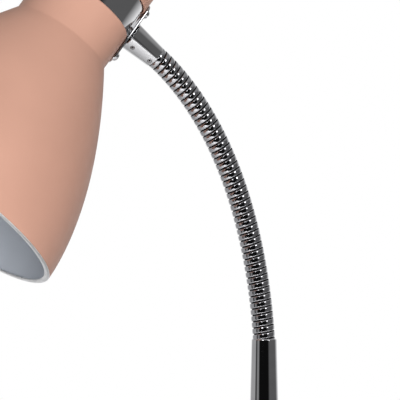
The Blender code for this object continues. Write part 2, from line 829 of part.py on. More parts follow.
def make_lampholder(head):
    band_bore = BAND_R - BAND_WALL
    ring = ring_outline(HOLDER_R + GAP, band_bore - GAP, RING_Z, RING_Z + RING_H)
    turned("holder_ring", ring, BODY_STEPS, STEEL, head)
    bore = HOLDER_R - HOLDER_WALL
    ledge_z = RING_Z + RING_H + GAP
    body = [
        (0, HOLDER_TOP_Z),
        (HOLDER_R - HOLDER_CROWN_W, HOLDER_TOP_Z),
        (HOLDER_R + HOLDER_LEDGE, HOLDER_TOP_Z - HOLDER_CROWN_H),
        (HOLDER_R + HOLDER_LEDGE, ledge_z),
        (HOLDER_R, ledge_z),
        (HOLDER_R, HOLDER_MOUTH_Z),
        (bore, HOLDER_MOUTH_Z),
        (bore, HOLDER_FLOOR_Z),
        (0, HOLDER_FLOOR_Z),
    ]
    turned("lampholder_body", body, TUBE_STEPS, PORCELAIN, head)
    thread_r = LAMP_CAP_R + GAP
    foot, top = HOLDER_MOUTH_Z + THREAD_FROM_MOUTH, HOLDER_FLOOR_Z - THREAD_FROM_FLOOR
    thread = ring_outline(thread_r, thread_r + THREAD_WALL, foot, top)
    turned("lampholder_thread", thread, TUBE_STEPS, BRASS, head)
    contact_foot = lamp_tip() + GAP
    rod("centre_contact", CONTACT_R, (0, 0, contact_foot), (0, 0, HOLDER_FLOOR_Z - GAP), BRASS, head)


def lamp_tip():
    """Height of the bulb's end contact."""
    return HOLDER_MOUTH_Z - GAP + LAMP_CAP_H + LAMP_TIP_H


def make_bulb(head):
    foot = HOLDER_MOUTH_Z - GAP
    top = foot + LAMP_CAP_H
    cap = [
        (0, top + LAMP_TIP_H),
        (LAMP_CAP_R * 0.4, top + LAMP_TIP_H),
        (LAMP_CAP_R, top),
        (LAMP_CAP_R, foot),
        (0, foot),
    ]
    turned("bulb_cap", cap, TUBE_STEPS, STEEL, head)
    glass_top = foot - GAP
    centre_z = glass_top - BULB_L + BULB_R
    neck_fall = glass_top - centre_z
    globe = arc((0, centre_z), BULB_R, 40, -90, 8)
    neck = [(BULB_NECK_R, glass_top), (BULB_NECK_R + BULB_NECK_FLARE, glass_top - neck_fall * 0.25)]
    turned_shell("bulb_glass", neck + globe, BULB_WALL, SMALL_STEPS, FROSTED_GLASS, head)


def make_switch(head):
    bore = BUTTON_R + SLIDE_GAP
    flange_foot = CAP_TOP_Z + GAP
    flange_top = flange_foot + SWITCH_FLANGE_H
    floor = flange_top - BUTTON_H - BUTTON_TRAVEL
    body = [
        (bore, flange_top),
        (SWITCH_FLANGE_R - SWITCH_FLANGE_EDGE, flange_top),
        (SWITCH_FLANGE_R, flange_top - SWITCH_FLANGE_EDGE),
        (SWITCH_FLANGE_R, flange_foot),
        (SWITCH_R, flange_foot),
        (SWITCH_R, flange_top - SWITCH_DEPTH),
        (0, flange_top - SWITCH_DEPTH),
        (0, floor),
        (bore, floor),
    ]
    turned("switch_body", body, SMALL_STEPS, BLACK_PLASTIC, head)
    nut_top = CAP_TOP_Z - SHADE_WALL - GAP
    nut_foot = nut_top - SWITCH_NUT_H
    hex_nut("switch_nut", SWITCH_R + GAP, SWITCH_NUT_R, nut_foot, nut_top, STEEL, head, (0, 0, 1))
    button_foot = floor + BUTTON_TRAVEL + GAP
    button_top = button_foot + BUTTON_H + BUTTON_PROUD
    frame = bpy.data.objects.new("button_frame", None)
    frame.parent = head
    frame.location = (0, 0, button_foot)
    bpy.data.collections[PARTS].objects.link(frame)
    height = button_top - button_foot
    button = [
        (0, height),
        (BUTTON_R * 0.7, height - BUTTON_CROWN),
        (BUTTON_R, height - BUTTON_EDGE),
        (BUTTON_R, 0),
        (0, 0),
    ]
    turned("switch_button", button, SMALL_STEPS, BLACK_PLASTIC, frame)


def make_head():
    head = add_frame("head_frame", head_place(), SLEEVE_LEAN - 90)
    shade = make_shade(head)
    cap = make_cap(head)
    band = make_band(head)
    make_side_plate(head, shade, cap, band)
    make_stud(head)
    make_lampholder(head)
    make_bulb(head)
    make_switch(head)


def main():
    clear_scene()
    make_base()
    make_column()
    make_sliding_tube()
    make_ferrule()
    make_gooseneck()
    make_sleeve()
    make_head()


main()
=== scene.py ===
"""Looks of an examination lamp.

A salmon bell shade on a gooseneck, a chrome column and a weighted base.
"""

import json
import math

import bmesh
import bpy
from mathutils import Matrix, Vector


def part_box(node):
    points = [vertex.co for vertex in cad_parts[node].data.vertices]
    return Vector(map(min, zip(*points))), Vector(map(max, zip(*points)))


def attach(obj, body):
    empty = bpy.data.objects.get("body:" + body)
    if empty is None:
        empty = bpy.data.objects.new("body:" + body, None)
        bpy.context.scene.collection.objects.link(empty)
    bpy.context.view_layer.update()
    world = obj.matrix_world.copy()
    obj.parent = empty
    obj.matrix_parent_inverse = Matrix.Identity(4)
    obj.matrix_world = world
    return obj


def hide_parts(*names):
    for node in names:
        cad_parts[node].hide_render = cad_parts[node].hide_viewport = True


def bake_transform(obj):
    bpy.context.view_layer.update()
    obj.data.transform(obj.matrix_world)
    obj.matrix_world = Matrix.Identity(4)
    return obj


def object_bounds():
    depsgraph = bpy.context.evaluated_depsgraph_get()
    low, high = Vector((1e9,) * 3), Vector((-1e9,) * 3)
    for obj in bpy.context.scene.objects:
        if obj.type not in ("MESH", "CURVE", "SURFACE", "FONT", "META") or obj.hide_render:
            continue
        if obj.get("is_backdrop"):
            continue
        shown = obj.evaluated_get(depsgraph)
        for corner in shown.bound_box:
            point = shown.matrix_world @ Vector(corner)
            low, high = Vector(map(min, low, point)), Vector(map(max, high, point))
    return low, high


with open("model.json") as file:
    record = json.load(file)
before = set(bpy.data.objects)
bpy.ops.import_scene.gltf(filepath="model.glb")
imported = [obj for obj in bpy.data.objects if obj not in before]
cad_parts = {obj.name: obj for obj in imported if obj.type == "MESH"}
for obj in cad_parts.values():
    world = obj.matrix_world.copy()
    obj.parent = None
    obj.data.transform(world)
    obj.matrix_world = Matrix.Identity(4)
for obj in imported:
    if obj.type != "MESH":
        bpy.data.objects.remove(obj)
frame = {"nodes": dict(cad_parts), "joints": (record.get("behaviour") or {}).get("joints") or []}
cad_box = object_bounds()

# Sizes in metres. Heights are above the floor, or along the axis of the piece.

SHEET = 0.0008  # sheet steel of the shade and the cap
ROUND_STEPS = 96
SMALL_ROUND_STEPS = 48
NECK_R = 0.0283
NECK_EDGE_R = 0.0009
NECK_TOP = -0.0046
NECK_FOOT = -0.0267
RIM_R = 0.0695
RIM_ROLL_R = 0.0012
RIM_FOOT = -0.139
LIP_W = 0.0032
BELL_FULLNESS = 1.75
CAP_FOOT = 0.0122
CAP_SIDE_TOP = 0.042
CAP_TOP = 0.058
CAP_FLAT_R = 0.011
BAND_R = 0.0269
BAND_WALL = 0.0009
BAND_FOOT = -0.0186
BAND_TOP = 0.0342
PLATE_FACE = 0.0286
PLATE_H = 0.0012
PLATE_W = 0.010
PLATE_L = 0.039
PLATE_SCREW_Z = 0.0145

WINDING_R = 0.0062
WINDING_PITCH = 0.0035
WINDING_STEPS = 36  # round one turn
BAND_FACE_L = 0.00272  # of the wide band, along the gooseneck
BAND_CROWN_R = 0.0060
GROOVE_DEPTH = 0.0013
SECTION_L = 0.01684
SECTIONS = 10
FOLLOWS_FROM_ABOVE = (7,)  # pieces of the winding listed apart; they are baked in place like all the others
LIP_ABOVE_FIRST_JOINT = 0.0020
ARM_STEP = 0.0005
FIRST_LEAN = 3.6  # degrees from upright at the ferrule
EVEN_LEAN = 28.4  # degrees gained evenly along the gooseneck
TIP_LEAN = 16.7  # degrees gained mostly near its tip
SLEEVE_EXTRA_LEAN = 3.8  # degrees gained between the last joint and the sleeve
SLEEVE_FOOT = 0.0046
SLEEVE_ROOT = 0.0237
SLEEVE_TIP_R = 0.0064
SLEEVE_ROOT_R = 0.0080

FERRULE_FOOT = 0.6819
FERRULE_TOP = 0.7419
FERRULE_TOP_R = 0.0069
FERRULE_TAPER_L = 0.045
INNER_TUBE_R = 0.008
OUTER_TUBE_R = 0.011

# Camera and studio
CAMERA_TURN = -24  # degrees from straight in front
CAMERA_RISE = -0.6
CAMERA_DISTANCE = 2.0
VIEW_WIDTH = 0.2194
AIM_LEFT = 0.0352
AIM_UP = 0.0760

# Greys round the room, from one angle to another off the camera's side, negative to its left
ROOM_WALLS = (
    (-180, -150, 0.80),  # back wall
    (-140, -84, 0.38),  # left wall
    (-78, -68, 0.05),  # gap
    (-62, -50, 0.25),  # left screen
    (-42, 34, 0.005),  # black curtain in front
    (46, 112, 0.11),  # right wall in shade
    (150, 180, 0.80),  # back wall
)

# Places on the lamp, from the record's joints


def joint(name):
    return next(j for j in frame["joints"] if j["name"] == name)


def arm_joints():
    """The eleven joints of the gooseneck, from its foot to the shade."""
    places = []
    for i in range(SECTIONS // 2 + 1):
        places.append(Vector(joint(f"arm_bend_{i + 1}")["pos_m"]))
        if i < SECTIONS // 2:
            places.append(Vector(joint(f"arm_sway_{i + 1}")["pos_m"]))
    return places


def standing(origin, z_axis):
    """The place of a piece whose Z axis leans in the XZ plane."""
    z_axis = Vector(z_axis).normalized()
    y_axis = Vector((0, 1, 0))
    x_axis = y_axis.cross(z_axis)
    turn = Matrix((x_axis, y_axis, z_axis)).transposed().to_4x4()
    return Matrix.Translation(origin) @ turn


ARM = arm_joints()
SLEEVE_AXIS = Vector(joint("head_turn")["axis"]).normalized()
SLEEVE = standing(ARM[-1], SLEEVE_AXIS)
SHADE_AXIS = -Vector(joint("switch_press")["axis"]).normalized()
HEAD_ORIGIN = ARM[-1] + SLEEVE_AXIS * (SLEEVE_ROOT + 0.0003 + PLATE_H + PLATE_FACE)
HEAD = standing(HEAD_ORIGIN, SHADE_AXIS)
PLATE = HEAD @ Matrix.Translation((PLATE_FACE + PLATE_H, 0, 0)) @ Matrix.Rotation(math.pi / 2, 4, "Y")
CLAMP_Z = joint("clamp_knob_turn")["pos_m"][2]

# Making and finishing shapes


def spun(outline, steps=ROUND_STEPS):
    """A turned solid from its outline of (radius, height). One that leaves the axis is a closed loop."""
    shape = bmesh.new()
    points = [shape.verts.new((radius, 0, height)) for radius, height in outline]
    for first, second in zip(points, points[1:]):
        shape.edges.new((first, second))
    if outline[0][0] > 0 or outline[-1][0] > 0:
        shape.edges.new((points[-1], points[0]))
    bmesh.ops.spin(
        shape,
        geom=shape.verts[:] + shape.edges[:],
        cent=(0, 0, 0),
        axis=(0, 0, 1),
        dvec=(0, 0, 0),
        angle=2 * math.pi,
        steps=steps,
        use_merge=True,
        use_duplicate=False,
    )
    bmesh.ops.remove_doubles(shape, verts=shape.verts, dist=0.000002)
    bmesh.ops.recalc_face_normals(shape, faces=shape.faces)
    return shape


def bow(centre, radius, start, end, count):
    """Points of an arc in an outline, with angles in degrees from the outward direction."""
    points = []
    for i in range(count + 1):
        angle = math.radians(start + (end - start) * i / count)
        points.append((centre[0] + radius * math.cos(angle), centre[1] + radius * math.sin(angle)))
    return points


def soften(shape, width, segments=3, above=28):
    """Rounds every edge sharper than that many degrees."""
    sharp = [e for e in shape.edges if e.is_manifold and e.calc_face_angle(0) > math.radians(above)]
    bmesh.ops.bevel(
        shape,
        geom=sharp,
        offset=width,
        segments=segments,
        profile=0.5,
        affect="EDGES",
        material=-1,
        clamp_overlap=True,
    )


def peg(radius, foot, top, place=None, sides=24):
    """A round peg along Z, to cut with or to round off."""
    shape = bmesh.new()
    middle = Matrix.Translation((0, 0, (foot + top) / 2))
    bmesh.ops.create_cone(
        shape,
        cap_ends=True,
        segments=sides,
        radius1=radius,
        radius2=radius,
        depth=top - foot,
        matrix=(place or Matrix.Identity(4)) @ middle,
    )
    return shape


def bar(size, place):
    """A block to cut with."""
    shape = bmesh.new()
    bmesh.ops.create_cube(shape, size=1)
    bmesh.ops.scale(shape, vec=size, verts=shape.verts)
    bmesh.ops.transform(shape, matrix=place, verts=shape.verts)
    return shape


def object_of(name, shape, place=None):
    """The finished shape as an object at the origin, with its place in its mesh."""
    if place is not None:
        bmesh.ops.transform(shape, matrix=place, verts=shape.verts)
    mesh = bpy.data.meshes.new(name)
    shape.to_mesh(mesh)
    shape.free()
    piece = bpy.data.objects.new(name, mesh)
    bpy.context.scene.collection.objects.link(piece)
    return piece


def cut(piece, *cutters):
    """Takes the cutters' shapes out of the piece."""
    for number, shape in enumerate(cutters):
        cutter = object_of(f"{piece.name}_cutter_{number}", shape)
        modifier = piece.modifiers.new("cut", "BOOLEAN")
        modifier.operation = "DIFFERENCE"
        modifier.solver = "EXACT"
        modifier.object = cutter
        bpy.context.view_layer.update()
        evaluated = piece.evaluated_get(bpy.context.evaluated_depsgraph_get())
        mesh = bpy.data.meshes.new_from_object(evaluated)
        piece.modifiers.clear()
        piece.data = mesh
        bpy.data.objects.remove(cutter)


def finish(piece, finishes, body, stands_for, sharp=32):
    """Smooths the piece, gives it its finishes and hands it to its body."""
    piece.data.shade_smooth()
    piece.data.set_sharp_from_angle(angle=math.radians(sharp))
    for material in finishes:
        piece.data.materials.append(material)
    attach(piece, body)
    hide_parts(*stands_for)
    return piece


# Finishes


def start_finish(name):
    """A new material, its nodes, its links and its shader."""
    material = bpy.data.materials.new(name)
    material.use_nodes = True
    tree = material.node_tree
    return material, tree.nodes, tree.links, tree.nodes["Principled BSDF"]


def on_piece(nodes, links, stretch=(1, 1, 1)):
    """Coordinates that stay on the piece, in metres."""
    place = nodes.new("ShaderNodeTexCoord")
    mapping = nodes.new("ShaderNodeMapping")
    mapping.inputs["Scale"].default_value = stretch
    links.new(place.outputs["Object"], mapping.inputs["Vector"])
    return mapping.outputs["Vector"]


def grain(nodes, links, place, scale, detail=2.0, roughness=0.5):
    noise = nodes.new("ShaderNodeTexNoise")
    noise.inputs["Scale"].default_value = scale
    noise.inputs["Detail"].default_value = detail
    noise.inputs["Roughness"].default_value = roughness
    links.new(place, noise.inputs["Vector"])
    return noise.outputs["Fac"]


def between(nodes, links, factor, low, high, start=0.3, end=0.7):
    """Carries a grain to a value between low and high."""
    carry = nodes.new("ShaderNodeMapRange")
    carry.inputs["From Min"].default_value = start
    carry.inputs["From Max"].default_value = end
    carry.inputs["To Min"].default_value = low
    carry.inputs["To Max"].default_value = high
    links.new(factor, carry.inputs["Value"])
    return carry.outputs["Result"]


def two_tints(nodes, links, factor, first, second):
    mix = nodes.new("ShaderNodeMix")
    mix.data_type = "RGBA"
    mix.inputs["A"].default_value = (*first, 1)
    mix.inputs["B"].default_value = (*second, 1)
    links.new(factor, mix.inputs["Factor"])
    return mix.outputs["Result"]


def relief(nodes, links, height, shader, strength, depth):
    bump = nodes.new("ShaderNodeBump")
    bump.inputs["Strength"].default_value = strength
    bump.inputs["Distance"].default_value = depth
    links.new(height, bump.inputs["Height"])
    links.new(bump.outputs["Normal"], shader.inputs["Normal"])


def powder_coat(name, tint, roughness=0.52, variation=0.035):
    """Baked powder paint: a fine orange peel, a little colour drift and a dull gloss."""
    material, nodes, links, shader = start_finish(name)
    place = on_piece(nodes, links)
    drift = between(nodes, links, grain(nodes, links, place, 24), 0, 1)
    pale = [min(1, c * (1 + variation)) for c in tint]
    deep = [c * (1 - variation) for c in tint]
    links.new(two_tints(nodes, links, drift, deep, pale), shader.inputs["Base Color"])
    peel = grain(nodes, links, place, 1500, 3)
    rough = between(nodes, links, grain(nodes, links, place, 160), roughness - 0.05, roughness + 0.05)
    links.new(rough, shader.inputs["Roughness"])
    relief(nodes, links, peel, shader, 0.22, 0.00012)
    shader.inputs["Specular IOR Level"].default_value = 0.42
    return material


def plated(name, tint, roughness, wipe=(1, 1, 1), scratch=0.02):
    """Plated metal: mirror gloss with faint wipe marks and a breath of haze."""
    material, nodes, links, shader = start_finish(name)
    shader.inputs["Metallic"].default_value = 1
    place = on_piece(nodes, links, wipe)
    cloud = between(nodes, links, grain(nodes, links, place, 60, 4), 0, 1)
    worn = [c * 0.94 for c in tint]
    links.new(two_tints(nodes, links, cloud, worn, tint), shader.inputs["Base Color"])
    smudges = grain(nodes, links, place, 240, 5, 0.6)
    haze = between(nodes, links, smudges, roughness * 0.6, roughness * 1.6)
    links.new(haze, shader.inputs["Roughness"])
    relief(nodes, links, grain(nodes, links, place, 900, 2), shader, scratch, 0.00002)
    return material


def moulded(name, tint, roughness, grain_scale=1100, strength=0.25):
    """Moulded plastic or rubber with a fine grain."""
    material, nodes, links, shader = start_finish(name)
    place = on_piece(nodes, links)
    drift = between(nodes, links, grain(nodes, links, place, 70), 0, 1)
    pale = [min(1, c * 1.15 + 0.003) for c in tint]
    links.new(two_tints(nodes, links, drift, tint, pale), shader.inputs["Base Color"])
    rough = between(nodes, links, grain(nodes, links, place, 300), roughness - 0.06, roughness + 0.06)
    links.new(rough, shader.inputs["Roughness"])
    relief(nodes, links, grain(nodes, links, place, grain_scale, 3), shader, strength, 0.0001)
    return material


def frosted_glass(name):
    """The bulb's opal glass."""
    material, nodes, links, shader = start_finish(name)
    place = on_piece(nodes, links)
    drift = between(nodes, links, grain(nodes, links, place, 40), 0, 1)
    tints = two_tints(nodes, links, drift, (0.86, 0.86, 0.84), (0.92, 0.92, 0.90))
    links.new(tints, shader.inputs["Base Color"])
    rough = between(nodes, links, grain(nodes, links, place, 500), 0.25, 0.34)
    links.new(rough, shader.inputs["Roughness"])
    relief(nodes, links, grain(nodes, links, place, 1600, 2), shader, 0.1, 0.00005)
    shader.inputs["Subsurface Weight"].default_value = 0.3
    shader.inputs["Subsurface Radius"].default_value = (0.004, 0.004, 0.004)
    return material


SALMON = powder_coat("salmon_powder_coat", (0.535, 0.295, 0.219))
INSIDE_GREY = powder_coat("grey_inner_enamel", (0.49, 0.52, 0.57), 0.45, 0.02)
BARE_LIP = plated("brushed_lip", (0.84, 0.84, 0.85), 0.34, (1, 1, 6), 0.1)
CHROME = plated("polished_chrome", (0.82, 0.82, 0.84), 0.035, (1, 1, 4), 0.004)
WINDING_STEEL = plated("gooseneck_plating", (0.70, 0.70, 0.73), 0.07, (1, 1, 3), 0.01)
# Near-black finish for the groove floors and the thin wire: painted shade in the gooseneck's grooves.
GROOVE_PAINTED_SHADE = plated("groove_painted_shade", (0.05, 0.05, 0.052), 0.55, (1, 1, 3), 0.1)
ZINC = plated("zinc_plate", (0.52, 0.53, 0.55), 0.30, (2, 2, 1), 0.15)
BRASS = plated("turned_brass", (0.66, 0.50, 0.22), 0.22, (1, 1, 5), 0.1)
CAST_IRON = moulded("cast_iron", (0.06, 0.06, 0.065), 0.62, 420, 0.7)
RUBBER = moulded("black_rubber", (0.030, 0.030, 0.031), 0.78, 900, 0.5)
BLACK_PLASTIC = moulded("black_grained_plastic", (0.022, 0.022, 0.023), 0.42)
NYLON = moulded("natural_nylon", (0.72, 0.70, 0.64), 0.45)
PORCELAIN = moulded("white_thermoset", (0.78, 0.77, 0.74), 0.26, 500, 0.08)
GLASS = frosted_glass("opal_glass")

# Head: shade, cap, band, side plate and its screws


def sheet_turned(outline, steps=ROUND_STEPS):
    """A turned sheet of the shade's thickness, with the outline as its outer side."""
    shape = bmesh.new()
    points = [shape.verts.new((radius, 0, height)) for radius, height in outline]
    for first, second in zip(points, points[1:]):
        shape.edges.new((first, second))
    bmesh.ops.spin(
        shape,
        geom=shape.verts[:] + shape.edges[:],
        cent=(0, 0, 0),
        axis=(0, 0, 1),
        dvec=(0, 0, 0),
        angle=2 * math.pi,
        steps=steps,
        use_merge=True,
        use_duplicate=False,
    )
    bmesh.ops.remove_doubles(shape, verts=shape.verts, dist=0.000002)
    bmesh.ops.recalc_face_normals(shape, faces=shape.faces)
    widest = max(shape.faces, key=lambda face: face.calc_center_median().xy.length)
    if widest.normal.xy.dot(widest.calc_center_median().xy) < 0:
        bmesh.ops.reverse_faces(shape, faces=shape.faces)
    bmesh.ops.solidify(shape, geom=shape.faces[:], thickness=SHEET)
    shape.normal_update()
    return shape


def shoulder(edge, up, count=8):
    """The rounded edge of the neck or the cap that turns in to the band."""
    centre = (NECK_R - NECK_EDGE_R, edge + up * NECK_EDGE_R)
    return bow(centre, NECK_EDGE_R, -90 * up, 0, count)


def bell(count=44):
    points = []
    fall = NECK_FOOT - (RIM_FOOT + RIM_ROLL_R)
    for i in range(count + 1):
        share = (i / count) ** 1.1
        radius = NECK_R + (RIM_R - NECK_R) * (1 - (1 - share) ** BELL_FULLNESS)
        points.append((radius, NECK_FOOT - fall * share))
    return points


def hem():
    """The rim rolls in to a flat lip with a turned-up edge."""
    roll = bow((RIM_R - RIM_ROLL_R, RIM_FOOT + RIM_ROLL_R), RIM_ROLL_R, -15, -90, 6)
    return roll + [(RIM_R - LIP_W + 0.0004, RIM_FOOT + 0.0001), (RIM_R - LIP_W, RIM_FOOT + 0.0005)]


def make_shade():
    shape = sheet_turned(shoulder(NECK_TOP, -1) + bell() + hem(), 128)
    lip_top = RIM_FOOT + RIM_ROLL_R * 0.75
    for face in shape.faces:
        centre = face.calc_center_median()
        outward = face.normal.xy.dot(centre.xy)
        if centre.z < lip_top:
            face.material_index = 2
        elif outward < 0:
            face.material_index = 1
    piece = object_of("bell_shade", shape, HEAD)
    return finish(piece, (SALMON, INSIDE_GREY, BARE_LIP), "head", ["shade"], 40)


def make_cap():
    dome = []
    for i in range(17):
        angle = math.radians(90 - 90 * i / 16)
        width = (NECK_R - CAP_FLAT_R) * math.cos(angle)
        rise = (CAP_TOP - CAP_SIDE_TOP) * math.sin(angle)
        dome.append((CAP_FLAT_R + width, CAP_SIDE_TOP + rise))
    outline = [(0.0063, CAP_TOP)] + dome + shoulder(CAP_FOOT, 1)[::-1]
    shape = sheet_turned(outline)
    piece = object_of("back_cap", shape, HEAD)
    return finish(piece, (SALMON,), "head", ["head_cap"], 40)


def make_band():
    inner = BAND_R - BAND_WALL
    shape = spun([(inner, BAND_FOOT), (BAND_R, BAND_FOOT), (BAND_R, BAND_TOP), (inner, BAND_TOP)])
    soften(shape, 0.0003)
    piece = object_of("swivel_band", shape, HEAD)
    return finish(piece, (CHROME,), "head", ["chrome_band"])


def round_ended(length, width, height, sides=64):
    """A strip with round ends, lying with its upper face at height 0."""
    shape = bmesh.new()
    turn = Matrix.Rotation(math.pi / sides, 4, "Z")
    bmesh.ops.create_circle(shape, cap_ends=True, segments=sides, radius=width / 2, matrix=turn)
    for vert in shape.verts:
        vert.co.x += math.copysign((length - width) / 2, vert.co.x)
    grown = bmesh.ops.extrude_face_region(shape, geom=shape.faces[:])
    raised = [item for item in grown["geom"] if isinstance(item, bmesh.types.BMVert)]
    bmesh.ops.translate(shape, vec=(0, 0, -height), verts=raised)
    bmesh.ops.recalc_face_normals(shape, faces=shape.faces)
    return shape


def make_side_plate():
    shape = round_ended(PLATE_L, PLATE_W, PLATE_H)
    soften(shape, 0.0003)
    piece = object_of("side_strap", shape, PLATE)
    return finish(piece, (CHROME,), "head", ["side_plate"])


def make_plate_screw(name, shift, node, slot_turn):
    """A pan-head screw with a driving slot."""
    outline = [(0, 0.0026), (0.0012, 0.00254), (0.0020, 0.0022), (0.00245, 0.0016), (0.0027, 0.0008)]
    outline += [(0.0027, 0.0003), (0.0014, 0.0003), (0.0014, -0.0045), (0, -0.0045)]
    shape = spun(outline, SMALL_ROUND_STEPS)
    place = PLATE @ Matrix.Translation((shift, 0, 0)) @ Matrix.Rotation(math.radians(slot_turn), 4, "Z")
    piece = object_of(name, shape, place)
    cut(piece, bar((0.0008, 0.007, 0.0010), place @ Matrix.Translation((0, 0, 0.0025))))
    return finish(piece, (CHROME,), "head", [node])


def make_sleeve():
    edge = bow((SLEEVE_TIP_R - 0.0006, SLEEVE_FOOT + 0.0006), 0.0006, -90, 0, 6)
    root = [(SLEEVE_ROOT_R, SLEEVE_ROOT - 0.0004), (SLEEVE_ROOT_R - 0.0004, SLEEVE_ROOT)]
    root.append((0, SLEEVE_ROOT))
    piece = object_of("tapered_sleeve", spun([(0, SLEEVE_FOOT)] + edge + root, 128), SLEEVE)
    places = [grub_place(SLEEVE_FOOT + 0.0026), grub_place(SLEEVE_ROOT - 0.0041)]
    cut(piece, *(peg(0.00135, -0.0022, 0.003, place, 32) for place in places))
    finish(piece, (CHROME,), "arm_tip", ["neck_sleeve"], 40)
    for place, node in zip(places, ("grub_screw_tip", "grub_screw_root")):
        screw = object_of(node.replace("grub", "socket"), peg(0.0012, -0.0020, -0.0003, place, 32))
        cut(screw, peg(0.00065, -0.0014, 0.001, place, 6))
        finish(screw, (ZINC,), "arm_tip", [node])


def grub_place(height):
    """On the sleeve's skin, with Z outward, on its lower front side."""
    share = (height - SLEEVE_FOOT) / (SLEEVE_ROOT - SLEEVE_FOOT)
    skin = SLEEVE_TIP_R + (SLEEVE_ROOT_R - SLEEVE_TIP_R) * share
    angle = math.radians(-90 - 51)
    out = Vector((math.cos(angle), math.sin(angle), 0))
    turn = out.to_track_quat("Z", "Y").to_matrix().to_4x4()
    return SLEEVE @ Matrix.Translation(out * skin + Vector((0, 0, height))) @ turn


# Gooseneck: a round wire and a narrow wire wound together


def winding_outline():
    """One pitch of the winding: the wide flat band, then the groove with a thin wire deep in it."""
    reach = math.degrees(math.asin(BAND_FACE_L / 2 / BAND_CROWN_R))
    crown = bow((WINDING_R - BAND_CROWN_R, BAND_FACE_L / 2), BAND_CROWN_R, -reach, reach, 6)
    floor_r = WINDING_R - GROOVE_DEPTH
    wire_r = floor_r + 0.0005
    return [(floor_r, 0)] + crown + [(floor_r, BAND_FACE_L), (wire_r, 0.00298), (wire_r, 0.00322)]


def straight_winding(length):
    """The winding before it is bent, upright, a little longer at both ends."""
    shape = bmesh.new()
    turns = math.ceil(length / WINDING_PITCH) + 2
    outline = winding_outline()
    outline.append((outline[0][0], outline[0][1] + WINDING_PITCH))
    points = [shape.verts.new((radius, 0, height - WINDING_PITCH)) for radius, height in outline]
    for first, second in zip(points, points[1:]):
        shape.edges.new((first, second))
    bmesh.ops.spin(
        shape,
        geom=shape.verts[:] + shape.edges[:],
        cent=(0, 0, 0),
        axis=(0, 0, 1),
        dvec=(0, 0, WINDING_PITCH / WINDING_STEPS),
        angle=2 * math.pi * turns,
        steps=WINDING_STEPS * turns,
        use_merge=False,
        use_duplicate=False,
    )
    bmesh.ops.remove_doubles(shape, verts=shape.verts, dist=0.00001)
    bmesh.ops.recalc_face_normals(shape, faces=shape.faces)
    # Faces deep in the groove, its floor and the thin wire, take the near-black painted shade.
    for face in shape.faces:
        if face.calc_center_median().xy.length < WINDING_R - 0.4 * GROOVE_DEPTH:
            face.material_index = 1
    return shape


def lean(height):
    """Radians from upright at that height along the winding, counted from the first joint."""
    share = min(height / (SECTIONS * SECTION_L), 1)
    past = min(max(height - SECTIONS * SECTION_L, 0) / SLEEVE_FOOT, 1)
    return math.radians(FIRST_LEAN + EVEN_LEAN * share + TIP_LEAN * share**3 + SLEEVE_EXTRA_LEAN * past)


def arm_line():
    """Points on the gooseneck's middle line, each ARM_STEP further on from the first joint."""
    points = [ARM[0].copy()]
    while len(points) * ARM_STEP < SECTIONS * SECTION_L + SLEEVE_FOOT + 0.002:
        angle = lean((len(points) - 0.5) * ARM_STEP)
        points.append(points[-1] + Vector((-math.sin(angle), 0, math.cos(angle))) * ARM_STEP)
    return points


def bent(point, line):
    """Moves a point of the upright winding onto the gooseneck's curve."""
    number = min(max(int(point.z / ARM_STEP), 0), len(line) - 2)
    middle = line[number].lerp(line[number + 1], point.z / ARM_STEP - number)
    angle = lean(point.z)
    beside = Vector((math.cos(angle), 0, math.sin(angle)))
    return middle + beside * point.x + Vector((0, point.y, 0))


def make_gooseneck():
    """Each piece of the winding spans one joint, from mid-body to mid-body, bent to the gooseneck's
    resting curve.
    """
    line = arm_line()
    whole = straight_winding(SECTIONS * SECTION_L + SLEEVE_FOOT)
    for i in range(SECTIONS + 1):
        foot = (i - 0.5) * SECTION_L if i else LIP_ABOVE_FIRST_JOINT - 0.0008
        top = (i + 0.5) * SECTION_L if i < SECTIONS else SECTIONS * SECTION_L + SLEEVE_FOOT + 0.0006
        shape = whole.copy()
        for height, keep_above in ((foot, True), (top, False)):
            bmesh.ops.bisect_plane(
                shape,
                geom=shape.verts[:] + shape.edges[:] + shape.faces[:],
                dist=0.0000001,
                plane_co=(0, 0, height),
                plane_no=(0, 0, 1),
                clear_inner=keep_above,
                clear_outer=not keep_above,
            )
        for vert in shape.verts:
            vert.co = bent(vert.co, line)
        piece = object_of(f"winding_{i + 1:02d}", shape)
        piece.data.shade_smooth()
        piece.data.materials.append(WINDING_STEEL)
        piece.data.materials.append(GROOVE_PAINTED_SHADE)
        if i + 1 in FOLLOWS_FROM_ABOVE:
            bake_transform(piece)
        else:
            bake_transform(piece)
        if i < SECTIONS:
            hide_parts(f"gooseneck_section_{i + 1:02d}")

# Column, clamp and base


def make_ferrule():
    lip_r = 0.0009
    lip = bow((FERRULE_TOP_R - lip_r, FERRULE_TOP - lip_r), lip_r, 0, 90, 8)
    bore = [(WINDING_R + 0.00002, FERRULE_TOP - 0.0001), (WINDING_R + 0.00002, FERRULE_TOP - 0.004)]
    foot = [(0, FERRULE_TOP - 0.004), (0, FERRULE_FOOT), (INNER_TUBE_R - 0.0003, FERRULE_FOOT)]
    side = [(INNER_TUBE_R, FERRULE_FOOT + 0.0003), (INNER_TUBE_R, FERRULE_TOP - FERRULE_TAPER_L)]
    piece = object_of("tapered_ferrule", spun(foot + side + lip + bore, 128))
    return finish(piece, (CHROME,), "arm_foot", ["ferrule"], 40)


def tube(name, radius, wall, foot, top):
    inner = radius - wall
    shape = spun([(inner, foot), (radius, foot), (radius, top), (inner, top)])
    soften(shape, 0.0003)
    return object_of(name, shape)


def make_tubes():
    low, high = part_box("outer_tube")
    outer = tube("column_tube", OUTER_TUBE_R, 0.0012, low.z, high.z)
    finish(outer, (CHROME,), "stand", ["outer_tube"])
    low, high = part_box("inner_tube")
    inner = tube("sliding_tube", INNER_TUBE_R, 0.0012, low.z, high.z)
    finish(inner, (CHROME,), "mast", ["inner_tube"])


